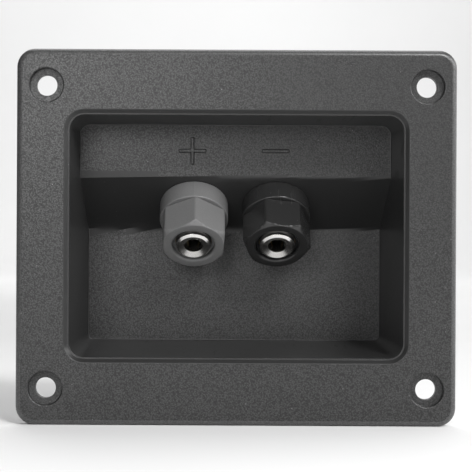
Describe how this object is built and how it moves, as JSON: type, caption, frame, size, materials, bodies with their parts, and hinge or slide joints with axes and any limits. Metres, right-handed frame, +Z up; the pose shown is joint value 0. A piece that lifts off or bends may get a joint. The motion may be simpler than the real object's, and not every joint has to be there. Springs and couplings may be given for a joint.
{
  "type": "speaker terminal cup",
  "caption": "Recessed rectangular terminal cup: counterbored flange, stepped recess, and binding posts with hexagonal screw caps and plug sockets on a sloped ledge.",
  "frame": {"origin": "centre of the four panel screw holes, on the flange's rear face", "axes": "front faces -Y, +Y into the cabinet, +X to the right seen from the front, +Z up"},
  "size_m": [0.096, 0.0339, 0.082],
  "materials": {
    "cup_plastic": "black moulded plastic with a fine spark-eroded grain; smooth on the recess walls",
    "positive_plastic": "satin mid-grey moulded plastic; its true hue can't be seen in a monochrome photograph",
    "negative_plastic": "gloss black moulded plastic",
    "nickel_plate": "bright nickel plate on turned brass",
    "brass": "plain turned brass",
    "spring_steel": "zinc-plated spring steel",
    "tinned_brass": "stamped and tinned"
  },
  "bodies": {
    "cup": {"cup_body": "cup_plastic", "positive_base_collar": "positive_plastic", "positive_post": "nickel_plate", "positive_rear_bush": "positive_plastic", "positive_flat_washer": "nickel_plate", "positive_lock_washer": "spring_steel", "positive_clamp_nut": "nickel_plate", "positive_solder_tab": "tinned_brass", "positive_tab_nut": "nickel_plate", "negative_base_collar": "negative_plastic", "negative_post": "nickel_plate", "negative_rear_bush": "negative_plastic", "negative_flat_washer": "nickel_plate", "negative_lock_washer": "spring_steel", "negative_clamp_nut": "nickel_plate", "negative_solder_tab": "tinned_brass", "negative_tab_nut": "nickel_plate"},
    "positive_carrier": {"positive_nut_insert": "brass"},
    "positive_nut": {"positive_thumb_nut": "positive_plastic"},
    "negative_carrier": {"negative_nut_insert": "brass"},
    "negative_nut": {"negative_thumb_nut": "negative_plastic"}
  },
  "joints": [
    {"name": "positive_nut_travel", "type": "slide", "parent": "cup", "child": "positive_carrier", "axis": [0, -0.6794, -0.7337], "range_m": [0, 0.005]},
    {"name": "positive_nut_turn", "type": "hinge", "parent": "positive_carrier", "child": "positive_nut", "pos_m": [-0.0095, 0.01274, 0.00168], "axis": [0, -0.6794, -0.7337], "range_deg": [0, 1800]},
    {"name": "negative_nut_travel", "type": "slide", "parent": "cup", "child": "negative_carrier", "axis": [0, -0.6794, -0.7337], "range_m": [0, 0.005]},
    {"name": "negative_nut_turn", "type": "hinge", "parent": "negative_carrier", "child": "negative_nut", "pos_m": [0.0095, 0.01274, 0.00168], "axis": [0, -0.6794, -0.7337], "range_deg": [0, 1800]}
  ],
  "couplings": [
    {"joint": "positive_nut_turn", "follows": "positive_nut_travel", "rad_per_m": 6283.2},
    {"joint": "negative_nut_turn", "follows": "negative_nut_travel", "rad_per_m": 6283.2}
  ]
}
